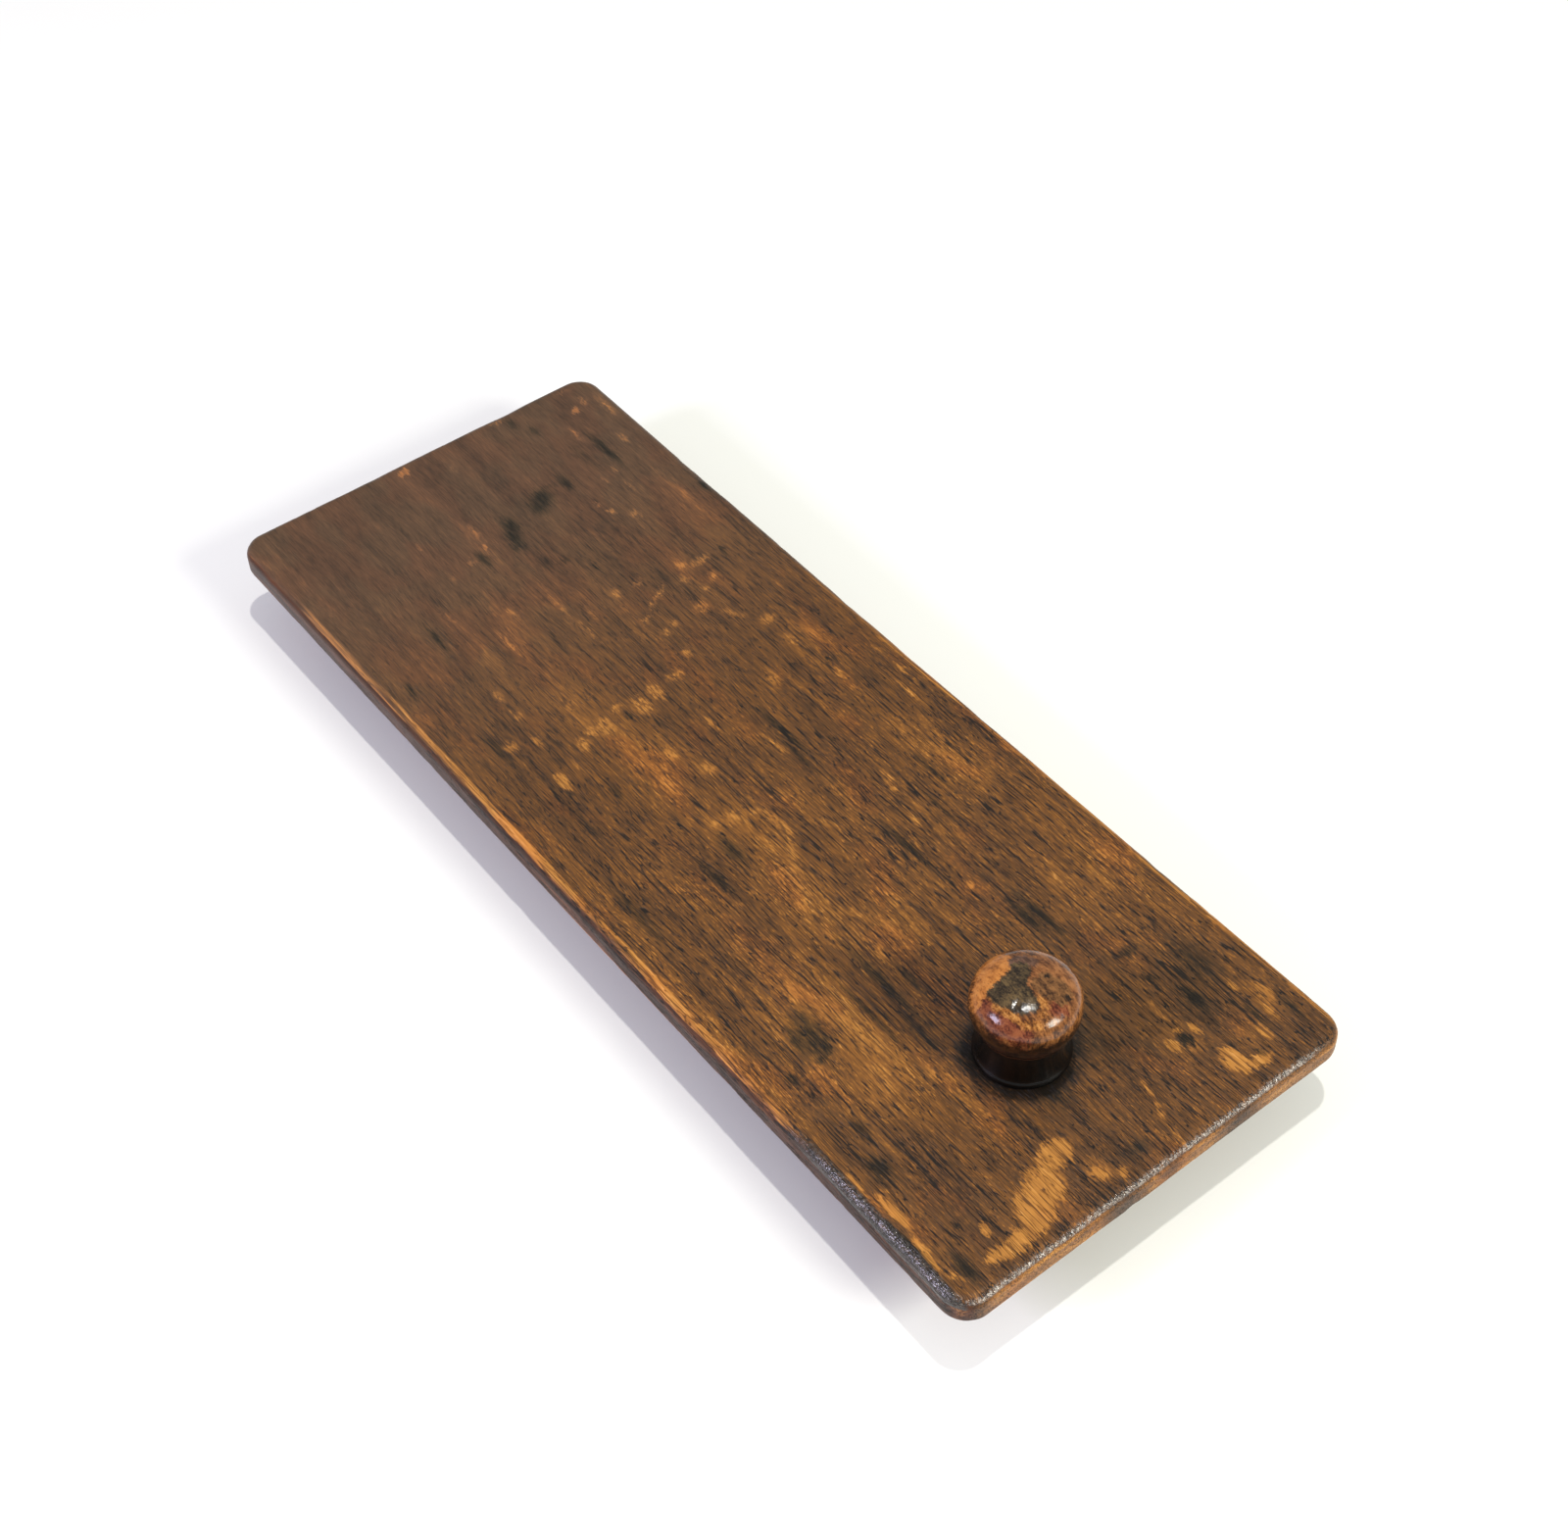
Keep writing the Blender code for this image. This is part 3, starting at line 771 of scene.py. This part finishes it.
    crackled = paint.times(knobEnd, upperRound)
    crackled = paint.times(crackled, paint.step(across, 66, 58))
    depth = paint.mix(rubbed, depth, wood)
    depth = paint.add(stainedAndFootShaded, paint.add(rubbed, -0.14, 0.32), depth)
    depth = paint.add(pores, paint.add(rubbed, -0.10, 0.42), depth)
    scratch = paint.noise(paint.stretch(at, (16, 0.5, 0.5), (9, 2, 4)), detail=2)
    depth = paint.swing(scratch, paint.times(edgeRub, 0.45), depth)
    depth = paint.add(edgeRub, -0.05, depth)
    depth = paint.add(glossy, 0.30, depth)
    depth = paint.add(crackled, 0.10, depth)

    # grime round the knob's foot, and the knob's contact shadow painted in as darker colour there
    foot = (knobLow + knobHigh) / 2 / mm
    fromFoot = paint.vector("SUBTRACT", ragged, (foot.x, foot.y, 0))
    grimeAndFootShade = paint.vector("LENGTH", paint.vector("MULTIPLY", fromFoot, (1, 1, 0)))
    grimeAndFootShade = paint.step(grimeAndFootShade, 21.5, 15.6)
    depth = paint.add(grimeAndFootShade, paint.times(paint.step(upward, 0.5, 0.9), 0.34), depth)

    towardKnob = paint.step(along, -165, -10)
    farColour = paint.ramp(depth, plankLook["farEnd"])
    nearColour = paint.ramp(depth, plankLook["nearKnob"])
    colour = paint.mix(towardKnob, farColour, nearColour)
    warm = paint.step(paint.swing(paint.inverse(towardKnob), 0.10, cloud), 0.47, 0.62)
    colour = paint.mix(warm, colour, paint.tint(colour, plankLook["red"]))
    nearFace = paint.times(nearSide, paint.step(upward, 0.80, 0.55))
    colour = paint.mix(nearFace, colour, paint.ramp(depth, plankLook["nearSide"]))
    # darker stain tint, which also paints the contact shade round the knob's foot
    colour = paint.mix(stainedAndFootShaded, colour, paint.tint(colour, plankLook["stain"]))
    raw = paint.swing(sideGrain, 0.6, paint.swing(middle, 0.8, fine))
    colour = paint.mix(below, colour, paint.ramp(raw, plankLook["underneath"]))
    colour = paint.tint(colour, plankLook["brightness"])
    # painted glints: whitish specks in the colour stand in for the east window's reflection on the
    # crazed varnish of the knob-end arris, and faintly on the glossy corner
    paintedGlint = paint.noise(paint.stretch(at, (1.1, 0.9, 0.9), (3, 3, 3)), detail=2, roughness=0.7)
    paintedGlint = paint.step(paintedGlint, 0.47, 0.60)
    paintedGlint = paint.times(paintedGlint, paint.most(crackled, paint.times(glossy, 0.18)))
    colour = paint.mix(paint.times(paintedGlint, 0.48), colour, plankLook["paintedGlint"])
    paint.link(colour, shader.inputs["Base Color"])

    # thick varnish shines, bare wood and open pores don't
    lacquer = paint.most(paint.times(glossy, 0.7), crackled)
    rough = paint.add(rubbed, 0.18, 0.40)
    rough = paint.add(pores, 0.2, rough)
    rough = paint.swing(cloud, 0.3, rough)
    rough = paint.add(lacquer, -0.22, rough)
    rough = paint.add(below, 0.3, rough)
    paint.link(rough, shader.inputs["Roughness"])
    shader.inputs["Specular IOR Level"].default_value = plankLook["shine"]
    shader.inputs["Coat Roughness"].default_value = plankLook["coatRoughness"]
    paint.link(lacquer, shader.inputs["Coat Weight"])

    height = paint.times(pores, -1.0)
    height = paint.add(fine, paint.add(crisp, 0.8, 0.2), height)
    height = paint.add(middle, 0.5, height)
    height = paint.add(rubbed, -0.30, height)
    crackle = paint.noise(paint.stretch(at, (0.9, 0.75, 0.75)), detail=1, roughness=0.5)
    crackle = paint.times(crackle, lacquer)
    height = paint.add(crackle, 1.9, height)
    skin = paint.bump(height, plankLook["relief"], 0.75)
    paint.link(skin, shader.inputs["Normal"])
    paint.link(skin, shader.inputs["Coat Normal"])
    return paint.material


knob = {
    "widest": 0.0166,
    "crown": 0.0098,
    "fullness": 2.4,  # 2 is a half ellipse, more is flatter on top
    "widestAt": 0.0234,  # above the plank
    "skirt": 0.0083,
    "skirtTaper": 0.0017,
    "neck": 0.0143,
    "neckHollow": 0.0006,
    "foot": 0.0149,
    "footHeight": 0.0026,
    "bore": 0.0020,
    "boreDepth": 0.0153,
    "steps": 112,
    "domeSteps": 24,
    "skirtSteps": 8,
    "neckSteps": 12,
    "turnedLine": 0.00016,  # how deep the fine line above the rim is
    "lineAt": 0.62,  # of the skirt's height
    "lineWidth": 0.045,
    "lift": 0.00017,  # its foot's middle, above the lowest point of its rim
    "dents": 0.00012,
    "nicks": 0.0004,
}


def knobProfile():
    outline = []
    for i in range(knob["domeSteps"] + 1):
        turn = math.pi / 2 * i / knob["domeSteps"]
        full = 2 / knob["fullness"]
        radius = knob["widest"] * math.sin(turn) ** full
        outline.append((radius, knob["widestAt"] + knob["crown"] * abs(math.cos(turn)) ** full))
    rim = knob["widestAt"] - knob["skirt"]
    rimRadius = knob["widest"] - knob["skirtTaper"]
    for i in range(1, knob["skirtSteps"] + 1):
        share = i / knob["skirtSteps"]
        line = math.exp(-(((share - knob["lineAt"]) / knob["lineWidth"]) ** 2))
        line = knob["turnedLine"] * line
        radius = knob["widest"] - knob["skirtTaper"] * share**2.2 - line
        outline.append((radius, knob["widestAt"] - knob["skirt"] * share * 0.95))
    outline += [
        (rimRadius - 0.00012, rim + 0.00015),
        (rimRadius - 0.00045, rim),
        (rimRadius - 0.0009, rim + 0.0001),
    ]
    top, bottom = rim - 0.0003, knob["footHeight"] + 0.0004
    for i in range(knob["neckSteps"] + 1):
        share = i / knob["neckSteps"]
        hollow = knob["neckHollow"] * math.sin(math.pi * share) ** 0.8
        outline.append((knob["neck"] - hollow, top + (bottom - top) * share))
    foot, high = knob["foot"], knob["footHeight"]
    outline += [
        (foot - 0.0003, high - 0.0001),
        (foot - 0.0001, high - 0.0004),
        (foot, high - 0.0009),
        (foot, 0.0007),
        (foot - 0.0003, 0.0002),
        (foot - 0.0008, 0.0),
        (knob["bore"] + 0.0006, 0.0),
        (knob["bore"], 0.0004),
        (knob["bore"], knob["boreDepth"]),
        (0.0, knob["boreDepth"] + 0.0014),
    ]
    return outline


def makeKnob():
    bm = bmesh.new()
    rings = []
    for radius, height in knobProfile():
        if radius < 1e-6:
            rings.append([bm.verts.new((0, 0, height))])
            continue
        ring = []
        for i in range(knob["steps"]):
            turn = 2 * math.pi * i / knob["steps"]
            ring.append(bm.verts.new((radius * math.cos(turn), radius * math.sin(turn), height)))
        rings.append(ring)
    for upper, lower in zip(rings, rings[1:]):
        for i in range(knob["steps"]):
            j = (i + 1) % knob["steps"]
            if len(upper) == 1:
                bm.faces.new((upper[0], lower[i], lower[j]))
            elif len(lower) == 1:
                bm.faces.new((upper[i], lower[0], upper[j]))
            else:
                bm.faces.new((upper[i], lower[i], lower[j], upper[j]))
    bm.normal_update()
    for vertex in bm.verts:
        x, y, z = vertex.co / mm
        if z > 0.5 and math.hypot(x, y) > 3:
            dent = noise.noise(Vector((x / 9, y / 9, z / 9)))
            nick = noise.noise(Vector((x / 2.6, y / 2.6, 7 + z / 2.6))) - 0.3
            move = dent * knob["dents"] - max(0.0, nick) * knob["nicks"]
            vertex.co += vertex.normal * move
    low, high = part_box("knob")
    stand = (low + high) / 2
    lean = math.atan(8 * plank["bow"] * stand.x / (plankHigh.x - plankLow.x) ** 2)
    foot = Vector((stand.x, stand.y, low.z + knob["lift"]))
    foot.x += math.sin(lean) * (high.z - low.z) / 2
    place = Matrix.Translation(foot) @ Matrix.Rotation(-lean, 4, "Y")
    bmesh.ops.transform(bm, matrix=place, verts=bm.verts)
    return addPiece("knobTurned", bm)


# in millimetres from the knob's axis, seen from above
knobOrange = [
    (-10.8, -3.2, 6.4, 5.6, 70, 1), (-8.8, -7.4, 5.2, 4.6, 110, 1),
    (-7.6, -10.8, 4.6, 3.6, 120, 0.95), (-13.4, -2, 5.4, 3.6, 90, 0.9),
    (-6.6, -13.6, 4, 2.2, 150, 0.7), (-11, 1, 3.4, 2.6, 0, 0.7),
]
knobClay = [
    (-0.6, 8, 5.6, 5.4, 0, 1), (4, 9.6, 6.2, 4.2, 0, 1), (9, 10.4, 5.4, 3.6, -35, 0.9),
    (-1.2, 4.4, 2.8, 4.8, -15, 0.95), (0.3, 1.2, 1.6, 4.2, 10, 0.9), (2.6, 7.2, 5, 2.8, 0, 0.8),
    (-4, 11.6, 4.4, 2.8, 20, 0.6), (12.6, 6.8, 2.4, 5.4, 30, 0.7),
]
knobGold = [
    (8, -1.6, 3, 2.2, 0, 0.9), (9.8, -3.8, 2, 2.6, 0, 0.7), (10.8, -7.8, 5.6, 1.9, 52, 0.8),
    (12.8, -4.4, 1.5, 3.6, -6, 0.55), (5.4, -10.6, 6, 1.7, 16, 0.85), (1, -12, 4.2, 1.6, 10, 0.7),
    (-3.6, -11.6, 3, 1.4, 0, 0.5),
]
knobDark = [
    (-4.2, 0.6, 4.6, 4, 130, 1), (-2.4, -3.4, 5, 4.6, 100, 1.1), (-1.4, -7.2, 5.6, 4.4, 0, 1.1),
    (2.4, -7, 5.4, 4.6, 0, 1), (4, -4.6, 5.2, 3.6, 0, 1), (6.6, -4.4, 2.8, 2.6, 0, 1),
    (-2, -10.2, 5, 2.4, 0, 0.85), (5, -7.4, 3.4, 2.4, 0, 0.8), (1.6, -3, 3.4, 2.6, 0, 0.8),
]
knobMauve = [
    (-6.4, 3.6, 4.2, 4, 120, 1), (-8, 1.6, 3, 2.6, 0, 0.8), (-4.6, 5.6, 3, 3.4, 0, 0.6),
]
knobBrown = [
    (6.8, 5.6, 5.6, 3.8, 10, 1), (5, 2.8, 5.4, 4.2, 0, 1), (2.4, 4.8, 3, 2.8, 0, 0.9),
    (2.8, 1.6, 3.4, 3, 0, 0.8), (9, 4, 4, 3.6, 0, 0.8),
]
knobRed = [
    (11.6, 2.8, 3.6, 6.2, 0, 0.9), (8.6, -11.4, 6.4, 3.4, 30, 1), (2.8, -14, 6.6, 3, 4, 1),
    (-3.6, -13.8, 5, 2.6, -10, 0.9),
]
knobSpecks = [
    (10.3, 6, 1.4, 1.2, 0, 1.4), (2, 5.4, 1.3, 1.1, 0, 1.1), (7.4, -3, 0.9, 0.8, 0, 1.4),
    (5.6, -5.8, 1.2, 0.9, 0, 1.3),
]

knobLook = {
    "ground": [(0.30, tone(70, 42, 24)), (0.50, tone(122, 76, 40)), (0.72, tone(164, 106, 56))],
    "orange": [(0.26, tone(134, 80, 34)), (0.44, tone(184, 114, 50)), (0.72, tone(208, 138, 68))],
    "clay": [(0.28, tone(88, 52, 28)), (0.46, tone(134, 84, 46)), (0.72, tone(166, 110, 64))],
    "gold": [(0.30, tone(80, 46, 20)), (0.50, tone(148, 92, 40)), (0.74, tone(196, 138, 72))],
    "dark": [(0.30, tone(38, 30, 22)), (0.50, tone(68, 55, 38)), (0.72, tone(104, 84, 54))],
    "mauve": [(0.34, tone(74, 50, 38)), (0.66, tone(122, 88, 68))],
    "brown": [(0.30, tone(62, 40, 24)), (0.48, tone(104, 70, 40)), (0.72, tone(140, 96, 56))],
    "red": [(0.32, tone(70, 32, 20)), (0.50, tone(116, 58, 36)), (0.70, tone(146, 84, 50))],
    "skirt": [(0.36, tone(20, 12, 8)), (0.66, tone(54, 31, 18))],
    "black": [(0.40, tone(4, 4, 4)), (0.80, tone(10, 8, 7))],
    "brightness": (0.80, 0.80, 0.80),
    "scuff": tone(64, 40, 24),
    "speck": tone(40, 28, 18),
    "rimRub": tone(146, 90, 60),
    "shine": 0.34,
    "relief": 0.00014,
}


def varnishedKnob():
    paint = newMaterial("knobVarnish")
    shader = paint.shader
    middle = (knobLow + knobHigh) / 2
    at = paint.vector("SUBTRACT", paint.position(mm), (middle.x / mm, middle.y / mm, knobLow.z / mm))
    soft = paint.noise(at, 0.30, 3, 0.6)
    grain = paint.noise(paint.stretch(at, (3.2, 0.8, 2.4)), detail=3, roughness=0.6)
    speck = paint.noise(at, 1.7, 2, 0.6)
    rag = paint.noise(paint.stretch(at, (1.5, 0.6, 1.0)), detail=4, roughness=0.7, colour=True)
    flat = paint.vector("MULTIPLY", paint.astray(at, rag, (5.6, 2.8, 0)), (1, 1, 0))
    blend = paint.swing(speck, 0.75, paint.swing(grain, 1.0, soft))

    def where(marks, low=0.14, high=0.26):
        return paint.step(paint.spots(flat, marks, 60), low, high)

    def patch(colour, over, look):
        return paint.mix(over, colour, paint.ramp(blend, knobLook[look]))

    colour = paint.ramp(blend, knobLook["ground"])
    colour = patch(colour, where(knobRed, 0.1, 0.4), "red")
    colour = patch(colour, where(knobClay), "clay")
    colour = patch(colour, where(knobBrown), "brown")
    orange = where(knobOrange)
    colour = patch(colour, orange, "orange")
    colour = patch(colour, where(knobMauve, 0.1, 0.4), "mauve")
    dark = where(knobDark)
    colour = patch(colour, dark, "dark")
    colour = patch(colour, where(knobGold, 0.2, 0.4), "gold")
    colour = paint.mix(paint.step(speck, 0.62, 0.70, 0.65), colour, knobLook["scuff"])
    colour = paint.mix(where(knobSpecks, 0.2, 0.6), colour, knobLook["speck"])

    up = paint.apart(at)[2]
    edge = paint.swing(grain, 3.0, paint.swing(soft, 3.0, up))
    colour = patch(colour, paint.step(edge, 27.0, 22.0), "skirt")
    rimHigh = (knob["widestAt"] - knob["skirt"]) / mm
    rim = paint.off(up, rimHigh + 0.45)
    colour = paint.mix(paint.step(rim, 0.6, 0.2, 0.6), colour, knobLook["rimRub"])
    under = paint.step(up, rimHigh + 0.2, rimHigh - 0.1)
    colour = paint.mix(under, colour, paint.ramp(grain, knobLook["black"]))
    colour = paint.tint(colour, knobLook["brightness"])
    paint.link(colour, shader.inputs["Base Color"])

    rough = paint.add(orange, 0.14, 0.15)
    rough = paint.swing(soft, 0.15, rough)
    paint.link(rough, shader.inputs["Roughness"])
    shader.inputs["Specular IOR Level"].default_value = knobLook["shine"]
    crazed = paint.crazing(paint.stretch(at, (1.0, 0.8, 0.8)))
    crazed = paint.times(paint.step(crazed, 0.0, 0.3), dark)
    height = paint.math("ADD", paint.times(grain, 0.5), paint.times(speck, 0.4))
    height = paint.add(crazed, 0.12, height)
    height = paint.add(orange, -0.3, height)
    paint.link(paint.bump(height, knobLook["relief"], 0.5), shader.inputs["Normal"])
    return paint.material


battenLook = {
    "wood": [(0.25, tone(62, 42, 28)), (0.5, tone(104, 72, 44)), (0.75, tone(142, 102, 62))],
    "light": 0.75,
    "relief": 0.0003,
}


def stainedBatten():
    paint = newMaterial("battenStain")
    shader = paint.shader
    at = paint.position(mm)
    grain = paint.noise(paint.stretch(at, (1.4, 30, 1.4)), detail=4, roughness=0.6)
    fine = paint.noise(paint.stretch(at, (0.45, 7, 0.45)), detail=2, roughness=0.6)
    cloud = paint.noise(at, 0.06, 3, 0.5)
    whole = paint.swing(fine, 0.9, grain)
    whole = paint.swing(cloud, 1.0, whole)
    colour = paint.ramp(whole, battenLook["wood"])
    colour = paint.tint(colour, (battenLook["light"],) * 3)
    paint.link(colour, shader.inputs["Base Color"])
    rough = paint.swing(cloud, 0.4, 0.62)
    paint.link(rough, shader.inputs["Roughness"])
    height = paint.math("ADD", fine, paint.times(grain, 0.6))
    paint.link(paint.bump(height, battenLook["relief"], 0.6), shader.inputs["Normal"])
    return paint.material


screwLook = {
    "steel": [(0.3, tone(104, 98, 90)), (0.7, tone(150, 144, 134))],
    "rust": tone(92, 54, 34),
    "relief": 0.0002,
}


def oldSteel():
    paint = newMaterial("screwSteel")
    shader = paint.shader
    at = paint.position(mm)
    rust = paint.noise(at, 0.55, 4, 0.65)
    scuff = paint.noise(paint.stretch(at, (3.0, 0.2, 0.2)), detail=2)
    rusty = paint.step(rust, 0.50, 0.66)
    steel = paint.ramp(scuff, screwLook["steel"])
    paint.link(paint.mix(rusty, steel, screwLook["rust"]), shader.inputs["Base Color"])
    bright = paint.math("SUBTRACT", 0.9, paint.times(rusty, 0.7))
    paint.link(bright, shader.inputs["Metallic"])
    paint.link(paint.add(rusty, 0.35, 0.38), shader.inputs["Roughness"])
    height = paint.math("ADD", rust, paint.times(scuff, 0.3))
    paint.link(paint.bump(height, screwLook["relief"], 0.5), shader.inputs["Normal"])
    return paint.material


def paintNode(name, material):
    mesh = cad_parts[name].data
    mesh.materials.clear()
    mesh.materials.append(material)


setTable()
setCamera()
setLamps()
print("camera, table and lamps set")

plankPiece = makePlank()
drillPlank(plankPiece)
plankPiece.data.materials.clear()
plankPiece.data.materials.append(varnishedPlank())
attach(plankPiece, "root")
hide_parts("plank")
print("plank made:", len(plankPiece.data.polygons), "faces")

knobPiece = makeKnob()
knobPiece.data.materials.append(varnishedKnob())
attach(knobPiece, "root")
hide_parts("knob")
print("knob made:", len(knobPiece.data.polygons), "faces")

batten = stainedBatten()
steel = oldSteel()
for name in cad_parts:
    if "screw" in name:
        paintNode(name, steel)
    elif name.startswith("batten"):
        paintNode(name, batten)
print("battens and screws finished")
